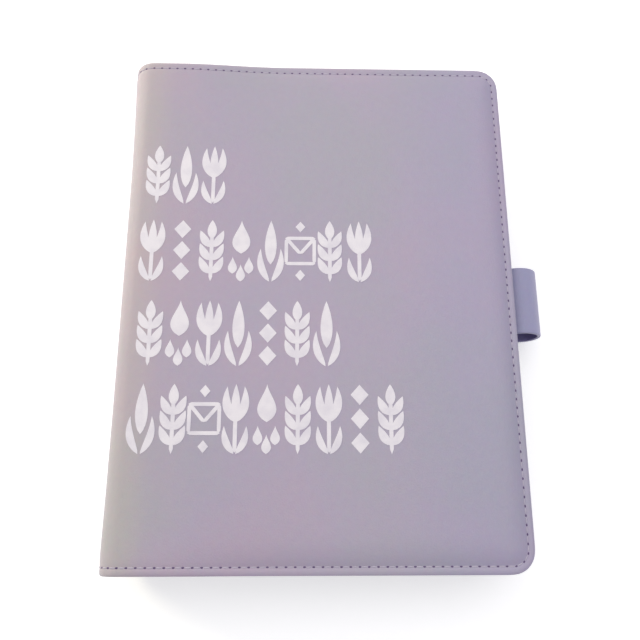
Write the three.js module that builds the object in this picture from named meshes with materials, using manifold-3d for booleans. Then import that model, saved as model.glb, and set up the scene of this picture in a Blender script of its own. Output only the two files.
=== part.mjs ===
// Cash envelope wallet: an A5 six-ring binder in padded soft leather, closed and lying on its back cover.
// Millimetres. X runs from the spine to the fore edge, Y from the foot to the head, Z up from the table.
// The origin is the middle of the back cover's outer face.
import * as THREE from 'three';
import { mergeVertices } from 'three/addons/utils/BufferGeometryUtils.js';
import Module from 'manifold-3d';

const wasm = await Module();
wasm.setup();

// Cover, closed: how far it reaches past the envelopes, and how deep it is
const FORE_MARGIN = 9.72;
const HEAD_MARGIN = 11;
const SPINE_DEPTH = 40;
const FRONT_TILT = THREE.MathUtils.degToRad(2.8);
const FOLD_R = 9;
const FORE_CORNER_R = 10;

// Layers of a cover panel, from the inside out
const LINING_T = 0.8;
const BOARD_T = 1.6;
const SKIN_T = 1;
const SEAT_GAP = 0.3;

// The stitched hem round a panel, and the padding that rises inside it
const HEM_W = 6;
const HEM_EDGE_R = 0.3;
const PAD_RISE_W = 4;
const PAD_ROUND_W = 4;
const TURN_WALL = 1.2;
const LINING_INSET = 0.8;

// Pockets on the linings
const POCKET_T = 0.7;
const POCKET_EDGE = 7;
const SLIP_HEIGHT = 150;
const THUMB_R = 11;
const CARD_W = 92;
const CARD_H = 60;
const CARD_STEP = 14;
const CARD_SLOTS = 3;

// Pen loop on the fore edge of the back cover
const LOOP_WIDTH = 31;
const LOOP_MIDDLE_Y = 2.5;
const LOOP_BORE_R = 7.2;
const LOOP_BAND_T = 1.8;
const LOOP_REACH = 13.6;
const LOOP_TAIL = 8;

// Ring mechanism: u stands for the distance from the spine's lining, w for the distance from its middle
const RING_BORE_R = 10;
const WIRE_D = 2.6;
const RING_PITCH = 19;
const RING_MIDDLE_GAP = 70;
const RINGS_PER_SIDE = 3;
const RING_LEG_W = 6.3;
const TIP_GAP = 0.3;
const PLATE_PAST_RING = 19;
const PLATE_W = 18.4;
const PLATE_T = 0.8;
const PLATE_CROWN_U = 4.5;
const PLATE_SHOULDER_U = 3.2;
const LIP_W = 2;
const LIP_T = 0.5;
const BLADE_T = 1;
const BLADE_SHORT = 4;
const BLADE_EDGE_W = 8;
const BLADE_MIDDLE_GAP = 0.4;
const SLOT_LENGTH = 3.6;
const SLOT_INNER_W = 4;
const RIVET_PAST_RING = 8;
const RIVET_SHANK_R = 1.5;
const RIVET_HEAD_R = 3;
const RIVET_HEAD_T = 1;

// Opening levers at the two ends of the mechanism
const LEVER_W = 10;
const LEVER_FOOT = 4.5;
const LEVER_FOOT_W = 3;
const LEVER_FOOT_T = 0.5;
const LEVER_REACH = 11;
const LEVER_RISE = 7.3;
const LEVER_FROM_END = 1;

// Zip envelopes on the rings
const ENVELOPE_COUNT = 6;
const ENVELOPE_W = 142;
const ENVELOPE_H = 210;
const ENVELOPE_T = 0.9;
const ENVELOPE_PITCH = 1.5;
const ENVELOPE_CORNER_R = 4;
const HOLE_D = 6;
const HOLE_EDGE = 5.5;
const HOLE_SLIDE = 0.7;
const ZIP_H = 10;
const ZIP_T = 1.2;

// Fineness of round stretches
const CORNER_STEPS = 6;
const FOLD_STEPS = 8;
const WIRE_SIDES = 10;
const RING_STEPS = 14;
const ROUND_STEPS = 24;

// Worked-out sizes
const BASE_T = LINING_T + SEAT_GAP;
const HEM_T = BASE_T + SKIN_T;
const BOARD_TOP_T = BASE_T + BOARD_T;
const PAD_UNDER_T = BOARD_TOP_T + SEAT_GAP;
const COVER_T = PAD_UNDER_T + SKIN_T;
const FOLD_BORE_R = FOLD_R - COVER_T;
const BOARD_INSET = HEM_W + PAD_RISE_W + SEAT_GAP * 2;
const WIRE_R = WIRE_D / 2;
const RING_MEAN_R = RING_BORE_R + WIRE_R;
const BLADE_U = SEAT_GAP + LIP_T + SEAT_GAP;
const BLADE_TOP_U = BLADE_U + BLADE_T;
const BLADE_PIVOT_U = BLADE_U + BLADE_T / 2;
const RING_SEAT_U = BLADE_TOP_U + SEAT_GAP;
const RING_CENTRE_U = RING_SEAT_U + Math.sqrt(RING_MEAN_R ** 2 - RING_LEG_W ** 2);
const ENVELOPE_END_U = RING_CENTRE_U + RING_MEAN_R + HOLE_SLIDE - HOLE_EDGE + ENVELOPE_W;
const COVER_WIDTH = COVER_T + ENVELOPE_END_U + FORE_MARGIN;
const COVER_HEIGHT = ENVELOPE_H + 2 * HEAD_MARGIN;
const HALF_H = COVER_HEIGHT / 2;
const SPINE_X = -COVER_WIDTH / 2;
const FORE_X = COVER_WIDTH / 2;
const BACK_FOLD = new THREE.Vector3(SPINE_X + FOLD_R, 0, FOLD_R);
const FRONT_FOLD = new THREE.Vector3(SPINE_X + FOLD_R, 0, SPINE_DEPTH - FOLD_R);
const BACK_W = FORE_X - BACK_FOLD.x;
const SPINE_W = SPINE_DEPTH - 2 * FOLD_R;
const FRONT_START_X = FRONT_FOLD.x + FOLD_R * Math.sin(FRONT_TILT);
const FRONT_W = (FORE_X - FRONT_START_X) / Math.cos(FRONT_TILT);
const LAST_RING_Y = RING_MIDDLE_GAP / 2 + (RINGS_PER_SIDE - 1) * RING_PITCH;
const PLATE_END_Y = LAST_RING_Y + PLATE_PAST_RING;
const BLADE_END_Y = PLATE_END_Y - BLADE_SHORT;
const RIVET_Y = LAST_RING_Y + RIVET_PAST_RING;
const LEVER_AXIS_Y = PLATE_END_Y - LEVER_FROM_END;

const SKIN = { color: 0xaaa5b4, roughness: 0.5, metalness: 0 };
const LINING = { color: 0xb3aebd, roughness: 0.8, metalness: 0 };
const BOARD = { color: 0x8c8478, roughness: 0.9, metalness: 0 };
const BAND = { color: 0x9694b4, roughness: 0.5, metalness: 0 };
const STEEL = { color: 0xc8c8cc, roughness: 0.25, metalness: 1 };
const FILM = { color: 0xe8edf0, roughness: 0.2, metalness: 0 };
const ZIP = { color: 0xf2f0f4, roughness: 0.4, metalness: 0 };

const wallet = new THREE.Group();

function addPiece(group, name, geometry, look) {
  const mesh = new THREE.Mesh(geometry, new THREE.MeshStandardMaterial(look));
  mesh.name = name;
  group.add(mesh);
}

// The triangles that close a flat ring of points, wound the way the ring runs
function capTriangles(ring) {
  const normal = new THREE.Vector3();
  ring.forEach((point, i) => {
    normal.add(new THREE.Vector3().crossVectors(point, ring[(i + 1) % ring.length]));
  });
  normal.normalize();
  const across = new THREE.Vector3().subVectors(ring[1], ring[0]).normalize();
  const up = new THREE.Vector3().crossVectors(normal, across);
  const flat = ring.map((point) => new THREE.Vector2(point.dot(across), point.dot(up)));
  return THREE.ShapeUtils.triangulateShape(flat, []).map(([a, b, c]) => {
    const ab = flat[b].clone().sub(flat[a]);
    const ac = flat[c].clone().sub(flat[a]);
    return ab.cross(ac) > 0 ? [a, b, c] : [a, c, b];
  });
}

// A closed solid through rings of equally many points, with flat ends
function loft(rings) {
  const count = rings[0].length;
  const last = (rings.length - 1) * count;
  const index = [];
  for (let k = 0; k < rings.length - 1; k += 1) {
    for (let i = 0; i < count; i += 1) {
      const a = k * count + i;
      const b = k * count + ((i + 1) % count);
      index.push(a, b, b + count, a, b + count, a + count);
    }
  }
  capTriangles(rings[0]).forEach(([a, b, c]) => index.push(a, c, b));
  capTriangles(rings[rings.length - 1]).forEach(([a, b, c]) => index.push(last + a, last + b, last + c));
  const points = rings.flat();
  let volume = 0;
  for (let i = 0; i < index.length; i += 3) {
    const [a, b, c] = [points[index[i]], points[index[i + 1]], points[index[i + 2]]];
    volume += a.dot(new THREE.Vector3().crossVectors(b, c));
  }
  if (volume < 0) index.reverse();
  const geometry = new THREE.BufferGeometry();
  geometry.setAttribute('position', new THREE.Float32BufferAttribute(points.flatMap((p) => p.toArray()), 3));
  geometry.setIndex(index);
  return geometry;
}

function box(x0, x1, y0, y1, z0, z1) {
  const geometry = new THREE.BoxGeometry(x1 - x0, y1 - y0, z1 - z0);
  return geometry.translate((x0 + x1) / 2, (y0 + y1) / 2, (z0 + z1) / 2);
}

function solidOf(geometry) {
  const bare = geometry.clone();
  bare.deleteAttribute('normal');
  bare.deleteAttribute('uv');
  const merged = mergeVertices(bare, 1e-4);
  const vertProperties = new Float32Array(merged.attributes.position.array);
  const triVerts = new Uint32Array(merged.index.array);
  return new wasm.Manifold(new wasm.Mesh({ numProp: 3, vertProperties, triVerts }));
}

function geometryOf(solid) {
  const mesh = solid.getMesh();
  const geometry = new THREE.BufferGeometry();
  geometry.setAttribute('position', new THREE.BufferAttribute(new Float32Array(mesh.vertProperties), 3));
  geometry.setIndex(new THREE.BufferAttribute(new Uint32Array(mesh.triVerts), 1));
  return geometry;
}

function cut(geometry, tools) {
  return geometryOf(tools.reduce((solid, tool) => solid.subtract(solidOf(tool)), solidOf(geometry)));
}

// A profile of [u, w] points, run along Y between two ends
function runAlongY(profile, y0, y1) {
  return loft([y0, y1].map((y) => profile.map(([u, w]) => new THREE.Vector3(u, y, w))));
}

// A round bar along X, for holes and rivets of the mechanism
function barAlongX(radius, u0, u1, y, w) {
  const geometry = new THREE.CylinderGeometry(radius, radius, u1 - u0, ROUND_STEPS);
  return geometry.rotateZ(Math.PI / 2).translate((u0 + u1) / 2, y, w);
}

// Cover panels. A panel lies in x and y with its outer face at COVER_T, and starts at its fold line.
function panelRing(width, foldBoth, edgeInset, foldInset, t) {
  const x0 = SEAT_GAP + foldInset;
  const y = HALF_H - edgeInset;
  if (foldBoth) {
    const x1 = width - SEAT_GAP - foldInset;
    return [[x0, -y], [x1, -y], [x1, y], [x0, y]].map(([px, py]) => new THREE.Vector3(px, py, t));
  }
  const radius = Math.max(FORE_CORNER_R - edgeInset, SKIN_T * 2);
  const x1 = width - edgeInset;
  const ring = [new THREE.Vector3(x0, -y, t)];
  [-1, 1].forEach((side) => {
    for (let i = 0; i <= CORNER_STEPS; i += 1) {
      const angle = (side < 0 ? -Math.PI / 2 : 0) + (i / CORNER_STEPS) * (Math.PI / 2);
      const cx = x1 - radius + radius * Math.cos(angle);
      const cy = side * (y - radius) + radius * Math.sin(angle);
      ring.push(new THREE.Vector3(cx, cy, t));
    }
  });
  ring.push(new THREE.Vector3(x0, y, t));
  return ring;
}

// How the outer face climbs from the hem to the padded middle: [distance from the edge, height]
const PAD_RISE = [
  [0, HEM_T - HEM_EDGE_R],
  [HEM_EDGE_R, HEM_T],
  [HEM_W, HEM_T + (COVER_T - HEM_T) * 0.08],
  [HEM_W + PAD_RISE_W / 2, HEM_T + (COVER_T - HEM_T) * 0.5],
  [HEM_W + PAD_RISE_W, HEM_T + (COVER_T - HEM_T) * 0.9],
  [HEM_W + PAD_RISE_W + PAD_ROUND_W, COVER_T],
];

function panelPieces(width, foldBoth) {
  const ring = (edge, fold, t) => panelRing(width, foldBoth, edge, fold, t);
  const skin = loft([
    ring(BOARD_INSET - SEAT_GAP, TURN_WALL, PAD_UNDER_T),
    ring(HEM_W + SKIN_T, TURN_WALL, BASE_T),
    ring(0, 0, BASE_T),
    ...PAD_RISE.map(([inset, t]) => ring(inset, 0, t)),
  ]);
  const boardFold = TURN_WALL + SEAT_GAP;
  const board = loft([BASE_T, BOARD_TOP_T].map((t) => ring(BOARD_INSET, boardFold, t)));
  const lining = loft([0, LINING_T].map((t) => ring(LINING_INSET, 0, t)));
  return { skin, board, lining };
}

function addCoverPieces(group, name, pieces) {
  addPiece(group, `${name}_skin`, pieces.skin, SKIN);
  addPiece(group, `${name}_board`, pieces.board, BOARD);
  addPiece(group, `${name}_lining`, pieces.lining, LINING);
}

// Soft folds: the whole cover section bent round the fold's centre, from one panel to the next
function foldStrip(centre, fromAngle, toAngle) {
  const rise = PAD_RISE.map(([inset, t]) => [HALF_H - inset, t]);
  const section = [[-HALF_H, 0], [HALF_H, 0], ...rise, ...rise.map(([y, t]) => [-y, t]).reverse()];
  const rings = [];
  for (let i = 0; i <= FOLD_STEPS; i += 1) {
    const angle = fromAngle + ((toAngle - fromAngle) * i) / FOLD_STEPS;
    rings.push(section.map(([y, t]) => {
      const radius = FOLD_BORE_R + t;
      return new THREE.Vector3(centre.x + radius * Math.cos(angle), y, centre.z + radius * Math.sin(angle));
    }));
  }
  return loft(rings);
}

// A flat pocket sheet with rounded lower corners and a thumb notch in the middle of its mouth
function pocketSheet(x0, x1, y0, y1, level) {
  const middle = (x0 + x1) / 2;
  const shape = new THREE.Shape();
  shape.moveTo(x0, y0);
  shape.lineTo(x1, y0);
  shape.lineTo(x1, y1);
  shape.lineTo(middle + THUMB_R, y1);
  shape.absarc(middle, y1, THUMB_R, 0, Math.PI, true);
  shape.lineTo(x0, y1);
  const geometry = new THREE.ExtrudeGeometry(shape, { depth: POCKET_T, bevelEnabled: false, curveSegments: 8 });
  return geometry.translate(0, 0, -(SEAT_GAP + POCKET_T) * level);
}

function addBackCover() {
  const group = new THREE.Group();
  group.position.set(BACK_FOLD.x, 0, COVER_T);
  group.rotation.x = Math.PI;
  addCoverPieces(group, 'back', panelPieces(BACK_W, false));
  wallet.add(group);
  const pocketRight = FORE_X - LOOP_TAIL - SEAT_GAP * 2;
  const foot = -HALF_H + POCKET_EDGE;
  const pocket = pocketSheet(BACK_FOLD.x + POCKET_EDGE, pocketRight, foot, foot + SLIP_HEIGHT, 1);
  const lift = COVER_T + SEAT_GAP * 2 + POCKET_T;
  addPiece(wallet, 'back_slip_pocket', pocket.translate(0, 0, lift), LINING);
  addPiece(wallet, 'pen_loop', penLoop(), BAND);
}

// One band turned round a pen, with both ends sewn down inside the fore edge
function penLoop() {
  const outer = LOOP_BORE_R + LOOP_BAND_T;
  const foot = COVER_T + SEAT_GAP;
  const cx = FORE_X + LOOP_REACH - outer;
  const cz = foot + outer;
  const tailTop = foot + 2 * LOOP_BAND_T;
  const tailX = FORE_X - LOOP_TAIL;
  const leave = Math.PI * 1.14;
  const shape = new THREE.Shape();
  shape.moveTo(tailX, foot);
  shape.lineTo(cx, foot);
  shape.absarc(cx, cz, outer, -Math.PI / 2, leave, false);
  shape.lineTo(cx - outer, tailTop);
  shape.lineTo(tailX, tailTop);
  const bore = new THREE.Path();
  bore.absarc(cx, cz, LOOP_BORE_R, 0, Math.PI * 2, true);
  shape.holes.push(bore);
  const settings = { depth: LOOP_WIDTH, bevelEnabled: false, curveSegments: ROUND_STEPS / 2 };
  const geometry = new THREE.ExtrudeGeometry(shape, settings);
  return geometry.rotateX(Math.PI / 2).translate(0, LOOP_MIDDLE_Y + LOOP_WIDTH / 2, 0);
}

function addSpine() {
  const group = new THREE.Group();
  group.position.set(SPINE_X + COVER_T, 0, BACK_FOLD.z);
  group.rotation.y = -Math.PI / 2;
  const pieces = panelPieces(SPINE_W, true);
  const holes = [-1, 1].map((side) => {
    const radius = RIVET_SHANK_R + SEAT_GAP;
    const hole = new THREE.CylinderGeometry(radius, radius, COVER_T * 3, ROUND_STEPS);
    return hole.rotateX(Math.PI / 2).translate(SPINE_W / 2, side * RIVET_Y, 0);
  });
  pieces.board = cut(pieces.board, holes);
  pieces.lining = cut(pieces.lining, holes);
  addCoverPieces(group, 'spine', pieces);
  wallet.add(group);
  addPiece(wallet, 'back_fold_leather', foldStrip(BACK_FOLD, -Math.PI / 2, -Math.PI), SKIN);
  const frontEnd = Math.PI / 2 - FRONT_TILT;
  addPiece(wallet, 'front_fold_leather', foldStrip(FRONT_FOLD, Math.PI, frontEnd), SKIN);
}

function addFrontCover() {
  const group = new THREE.Group();
  const inward = new THREE.Vector3(Math.sin(FRONT_TILT), 0, Math.cos(FRONT_TILT));
  group.position.copy(FRONT_FOLD).addScaledVector(inward, FOLD_BORE_R);
  group.rotation.y = FRONT_TILT;
  addCoverPieces(group, 'front', panelPieces(FRONT_W, false));
  const foot = -HALF_H + POCKET_EDGE;
  const slipRight = FRONT_W - POCKET_EDGE;
  addPiece(group, 'front_slip_pocket', pocketSheet(POCKET_EDGE, slipRight, foot, foot + SLIP_HEIGHT, 1), LINING);
  const cardX = POCKET_EDGE * 3;
  for (let i = 0; i < CARD_SLOTS; i += 1) {
    const mouth = foot + SLIP_HEIGHT - POCKET_EDGE * 3 - i * CARD_STEP;
    const sheet = pocketSheet(cardX, cardX + CARD_W, mouth - CARD_H, mouth, i + 2);
    addPiece(group, `card_slot_${i + 1}`, sheet, LINING);
  }
  wallet.add(group);
}

// Ring mechanism
const mechanism = new THREE.Group();
mechanism.position.set(SPINE_X + COVER_T, 0, SPINE_DEPTH / 2);

function ringPlaces() {
  const places = [];
  for (let i = 0; i < RINGS_PER_SIDE; i += 1) {
    places.push(RING_MIDDLE_GAP / 2 + i * RING_PITCH);
  }
  return [...places.map((y) => -y).reverse(), ...places];
}

// Arched cover plate with its long edges rolled under the blades
function ringPlate() {
  const half = PLATE_W / 2;
  const arch = (crown, shoulder, reach) => {
    const points = [];
    for (let i = 0; i <= CORNER_STEPS; i += 1) {
      const w = reach * (1 - (2 * i) / CORNER_STEPS);
      points.push([crown - (crown - shoulder) * (w / reach) ** 2, w]);
    }
    return points;
  };
  const lipTop = SEAT_GAP + LIP_T;
  const outside = arch(PLATE_CROWN_U, PLATE_SHOULDER_U, half);
  const inside = arch(PLATE_CROWN_U - PLATE_T, PLATE_SHOULDER_U - PLATE_T * 0.8, half - PLATE_T).reverse();
  const profile = [
    ...outside,
    [SEAT_GAP, -half],
    [SEAT_GAP, LIP_W - half],
    [lipTop, LIP_W - half],
    [lipTop, PLATE_T - half],
    ...inside,
    [lipTop, half - PLATE_T],
    [lipTop, half - LIP_W],
    [SEAT_GAP, half - LIP_W],
    [SEAT_GAP, half],
  ];
  const slots = ringPlaces().flatMap((y) => [-1, 1].map((side) => {
    const w = [side * SLOT_INNER_W, side * (half + PLATE_T)].sort((a, b) => a - b);
    const past = PLATE_CROWN_U * 2;
    return box(BLADE_TOP_U, past, y - SLOT_LENGTH / 2, y + SLOT_LENGTH / 2, w[0], w[1]);
  }));
  const holes = [-1, 1].map((side) => {
    return barAlongX(RIVET_SHANK_R + SEAT_GAP, -PLATE_T, PLATE_CROWN_U * 2, side * RIVET_Y, 0);
  });
  return cut(runAlongY(profile, -PLATE_END_Y, PLATE_END_Y), [...slots, ...holes]);
}

// A spring blade that rocks on its outer edge, side 1 above and -1 below
function blade(side) {
  const inner = BLADE_MIDDLE_GAP / 2;
  const profile = [[BLADE_U, inner], [BLADE_TOP_U, inner], [BLADE_TOP_U, BLADE_EDGE_W], [BLADE_U, BLADE_EDGE_W]];
  const placed = profile.map(([u, w]) => [u, side * w]);
  const notches = [-1, 1].map((end) => {
    return barAlongX(RIVET_SHANK_R + SEAT_GAP * 3, 0, PLATE_CROWN_U, end * RIVET_Y, 0);
  });
  return cut(runAlongY(placed, -BLADE_END_Y, BLADE_END_Y), notches);
}

// Half a ring of round wire, from its closing tip to its seat on the blade
function halfRing(side, y) {
  const start = TIP_GAP / 2 / RING_MEAN_R;
  const end = Math.PI - Math.acos(Math.min(1, (RING_CENTRE_U - BLADE_TOP_U) / RING_BORE_R));
  const rings = [];
  for (let i = 0; i <= RING_STEPS; i += 1) {
    const angle = start + ((end - start) * i) / RING_STEPS;
    const ring = [];
    for (let k = 0; k < WIRE_SIDES; k += 1) {
      const turn = (k / WIRE_SIDES) * Math.PI * 2;
      const radius = RING_MEAN_R + WIRE_R * Math.cos(turn);
      const u = RING_CENTRE_U + radius * Math.cos(angle);
      ring.push(new THREE.Vector3(u, y + WIRE_R * Math.sin(turn), side * radius * Math.sin(angle)));
    }
    rings.push(ring);
  }
  const reach = RING_CENTRE_U + RING_MEAN_R;
  const below = box(-reach, RING_SEAT_U, y - WIRE_D, y + WIRE_D, -reach, reach);
  return cut(loft(rings), [below]);
}

// A finger tab that rocks on two stubs under the plate's edges, with a foot below the blades
function lever(end) {
  const stub = BLADE_T / 2;
  const profile = [
    [-LEVER_FOOT, SEAT_GAP],
    [-stub, SEAT_GAP * 2],
    [stub, BLADE_PIVOT_U - stub],
    [LEVER_REACH, BLADE_PIVOT_U - stub + LEVER_RISE],
    [LEVER_REACH - stub, BLADE_PIVOT_U + stub + LEVER_RISE],
    [-stub, BLADE_PIVOT_U + stub],
    [-stub * 2, SEAT_GAP + LEVER_FOOT_T],
    [-LEVER_FOOT, SEAT_GAP + LEVER_FOOT_T],
  ];
  const tab = loft([-1, 1].map((side) => profile.map(([s, u]) => {
    const width = s < -stub ? LEVER_FOOT_W : LEVER_W;
    return new THREE.Vector3(u, end * (LEVER_AXIS_Y + s), (side * width) / 2);
  })));
  const stubs = box(
    BLADE_PIVOT_U - stub, BLADE_PIVOT_U + stub,
    end * LEVER_AXIS_Y - stub, end * LEVER_AXIS_Y + stub,
    -BLADE_EDGE_W, BLADE_EDGE_W,
  );
  return geometryOf(solidOf(tab).add(solidOf(stubs)));
}

function rivet(end) {
  const y = end * RIVET_Y;
  const shank = barAlongX(RIVET_SHANK_R, -BOARD_TOP_T, PLATE_CROWN_U + SEAT_GAP * 2, y, 0);
  const headStart = PLATE_CROWN_U + SEAT_GAP;
  const head = new THREE.CylinderGeometry(RIVET_HEAD_R * 0.7, RIVET_HEAD_R, RIVET_HEAD_T, ROUND_STEPS);
  head.rotateZ(-Math.PI / 2).translate(headStart + RIVET_HEAD_T / 2, y, 0);
  return geometryOf(solidOf(shank).add(solidOf(head)));
}

function addMechanism() {
  addPiece(mechanism, 'ring_plate', ringPlate(), STEEL);
  [['top', 1], ['bottom', -1]].forEach(([end, side]) => {
    addPiece(mechanism, `rivet_${end}`, rivet(side), STEEL);
    addPiece(mechanism, `lever_${end}`, lever(side), STEEL);
  });
  [['upper', 1], ['lower', -1]].forEach(([half, side]) => {
    addPiece(mechanism, `${half}_blade`, blade(side), STEEL);
    ringPlaces().forEach((y, i) => addPiece(mechanism, `${half}_ring_${i + 1}`, halfRing(side, y), STEEL));
  });
  wallet.add(mechanism);
}

// Clear envelopes threaded on the rings, each slid along the wire to its own level
function envelope(level) {
  const x0 = RING_CENTRE_U + Math.sqrt(RING_MEAN_R ** 2 - level ** 2) + HOLE_SLIDE - HOLE_EDGE;
  const x1 = x0 + ENVELOPE_W;
  const y0 = -ENVELOPE_H / 2;
  const y1 = ENVELOPE_H / 2 - ZIP_H;
  const r = ENVELOPE_CORNER_R;
  const shape = new THREE.Shape();
  shape.moveTo(x0 + r, y0);
  shape.lineTo(x1 - r, y0);
  shape.absarc(x1 - r, y0 + r, r, -Math.PI / 2, 0, false);
  shape.lineTo(x1, y1);
  shape.lineTo(x0, y1);
  shape.absarc(x0 + r, y0 + r, r, Math.PI, Math.PI * 1.5, false);
  ringPlaces().forEach((y) => {
    const hole = new THREE.Path();
    hole.absarc(x0 + HOLE_EDGE, y, HOLE_D / 2, 0, Math.PI * 2, true);
    shape.holes.push(hole);
  });
  const film = new THREE.ExtrudeGeometry(shape, { depth: ENVELOPE_T, bevelEnabled: false, curveSegments: 6 });
  const zip = box(x0, x1, y1, y1 + ZIP_H, level - ZIP_T / 2, level + ZIP_T / 2);
  return { film: film.translate(0, 0, level - ENVELOPE_T / 2), zip };
}

function addEnvelopes() {
  for (let i = 0; i < ENVELOPE_COUNT; i += 1) {
    const pieces = envelope((i - (ENVELOPE_COUNT - 1) / 2) * ENVELOPE_PITCH);
    addPiece(mechanism, `envelope_${i + 1}`, pieces.film, FILM);
    addPiece(mechanism, `zip_${i + 1}`, pieces.zip, ZIP);
  }
}

addBackCover();
addSpine();
addFrontCover();
addMechanism();
addEnvelopes();

export default wallet;
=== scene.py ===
# %% [markdown]
# A padded leather binder for cash envelopes, closed on a table.
# The imported frame gives every rigid piece its place. This lesson dresses it: leather, thread, print,
# rings and film. First the frame is loaded.

# %% Load the frame
import math
from functools import partial
import bpy
from mathutils import Matrix, Vector, noise


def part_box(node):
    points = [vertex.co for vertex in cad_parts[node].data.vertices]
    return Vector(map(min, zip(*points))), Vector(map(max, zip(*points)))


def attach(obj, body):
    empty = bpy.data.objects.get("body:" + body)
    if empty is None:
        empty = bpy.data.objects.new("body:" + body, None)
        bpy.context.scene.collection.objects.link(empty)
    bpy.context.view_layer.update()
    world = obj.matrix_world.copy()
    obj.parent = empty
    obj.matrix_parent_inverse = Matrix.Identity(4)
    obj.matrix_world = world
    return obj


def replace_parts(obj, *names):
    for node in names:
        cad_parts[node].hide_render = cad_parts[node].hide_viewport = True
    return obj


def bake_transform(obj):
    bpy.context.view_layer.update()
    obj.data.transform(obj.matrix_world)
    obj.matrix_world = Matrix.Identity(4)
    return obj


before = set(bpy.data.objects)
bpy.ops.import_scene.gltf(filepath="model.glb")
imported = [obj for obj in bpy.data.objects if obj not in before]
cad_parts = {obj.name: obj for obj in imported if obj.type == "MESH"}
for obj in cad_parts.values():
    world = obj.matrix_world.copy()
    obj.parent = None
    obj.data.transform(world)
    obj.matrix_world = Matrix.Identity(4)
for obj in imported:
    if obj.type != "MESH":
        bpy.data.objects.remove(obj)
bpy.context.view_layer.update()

# %% [markdown]
# The cover is cut from one blank of leather, padded, and folded twice round the spine.
# So every point of it can be named on the flat blank: `run` is how far it lies from the middle of the
# spine, and `y` how far from the middle of its height. A small function lays such a point on the folded
# cover. Sizes are in millimetres and agree with the frame's boxes. The scale itself is an estimate: the
# photograph has none, so the cover was taken to be that of a usual A5 ring binder.

# %% The blank and how it folds
MM = 0.001
HALF_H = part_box("back_skin")[1][1] / MM
SPINE_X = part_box("spine_skin")[0][0] / MM
FORE_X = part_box("back_skin")[1][0] / MM
SPINE_DEPTH = 40.0
FOLD_R = 9.0
COVER_T = 4.0
FRONT_TILT = math.radians(2.8)
CORNER_R = 10.0
FLAT_RUN = SPINE_DEPTH / 2 - FOLD_R


class Cover:
    """One half of the folded blank: the front runs up from the middle of the spine, the back down."""

    def __init__(self, up, tilt):
        self.up = up
        self.turn = math.pi / 2 + tilt
        self.fold_end = FLAT_RUN + FOLD_R * self.turn
        start_x = SPINE_X + FOLD_R * (1 - math.cos(self.turn))
        self.length = self.fold_end + (FORE_X - start_x) / math.sin(self.turn)

    def place(self, run, y, t):
        """The point at height t over the lining's inner face, t = COVER_T being the crown of the padding."""
        angle = min(max((run - FLAT_RUN) / FOLD_R, 0.0), self.turn)
        x = SPINE_X + FOLD_R * (1 - math.cos(angle))
        depth = FOLD_R * (1 - math.sin(angle))
        if run < FLAT_RUN:
            depth += FLAT_RUN - run
        if run > self.fold_end:
            x += (run - self.fold_end) * math.sin(angle)
            depth -= (run - self.fold_end) * math.cos(angle)
        inward = COVER_T - t
        x += inward * math.cos(angle)
        depth += inward * math.sin(angle)
        z = SPINE_DEPTH - depth if self.up else depth
        return Vector((x, y, z)) * MM


FRONT = Cover(True, FRONT_TILT)
BACK = Cover(False, 0.0)
print("from the middle of the spine", round(FRONT.length, 1), "mm to the front edge and",
      round(BACK.length, 1), "mm to the back one")

# %% [markdown]
# The camera stands low over the foot of the cover and looks down and away, as in the photograph.
# Its place was fitted to the outline of the cover, with the cover's size and the front's tilt given and
# the focal length picked. Other lenses with a narrower cover fit the corners as well or better, so a
# good match from here doesn't prove the size.

# %% Camera
CAMERA_AT = Vector((7.4, -96.55, 325.95)) * MM
CAMERA_TURN = (16.28, 1.19, -0.48)
FOCAL_PIXELS = 700
IMAGE_PIXELS = 640
SENSOR = 36.0
NEAREST = 0.01

bpy.ops.object.camera_add()
camera = bpy.context.object
turns = [Matrix.Rotation(math.radians(angle), 4, axis) for angle, axis in zip(CAMERA_TURN, "XYZ")]
camera.matrix_world = Matrix.Translation(CAMERA_AT) @ turns[0] @ turns[1] @ turns[2]
camera.data.sensor_width = SENSOR
camera.data.lens = SENSOR * FOCAL_PIXELS / IMAGE_PIXELS
camera.data.clip_start = NEAREST
bpy.context.scene.camera = camera
print("lens", round(camera.data.lens, 1), "mm")

# %% [markdown]
# Materials come next. Each is a small node tree on Object coordinates, which stay with the piece.
# A helper makes the tree, and others add noise, a colour ramp and a bump, so that each finish below
# reads as a short recipe.

# %% Material helpers


def bsdf_of(material):
    return material.node_tree.nodes["Principled BSDF"]


def shader(name, color, roughness, **sockets):
    material = bpy.data.materials.new(name)
    material.use_nodes = True
    bsdf = bsdf_of(material)
    bsdf.inputs["Base Color"].default_value = (*color, 1)
    bsdf.inputs["Roughness"].default_value = roughness
    for socket, value in sockets.items():
        bsdf.inputs[socket.replace("_", " ")].default_value = value
    return material


def add(material, kind, **values):
    """A new node, each value going to the socket of that name or else to the node itself."""
    node = material.node_tree.nodes.new(kind)
    for key, value in values.items():
        if key in node.inputs:
            node.inputs[key].default_value = value
        else:
            setattr(node, key, value)
    return node


def join(material, out_node, out_name, in_node, in_name):
    material.node_tree.links.new(out_node.outputs[out_name], in_node.inputs[in_name])


def grain(material, scale, detail=4.0, texture="ShaderNodeTexNoise"):
    """A pattern of the given scale on the piece's own coordinates."""
    place = add(material, "ShaderNodeTexCoord")
    pattern = add(material, texture)
    pattern.inputs["Scale"].default_value = scale
    if "Detail" in pattern.inputs:
        pattern.inputs["Detail"].default_value = detail
    join(material, place, "Object", pattern, "Vector")
    return pattern


def ramp(material, pattern, output, stops):
    node = add(material, "ShaderNodeValToRGB")
    while len(node.color_ramp.elements) < len(stops):
        node.color_ramp.elements.new(0.5)
    for element, (position, color) in zip(node.color_ramp.elements, stops):
        element.position = position
        element.color = (*color, 1)
    join(material, pattern, output, node, "Fac")
    return node


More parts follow.
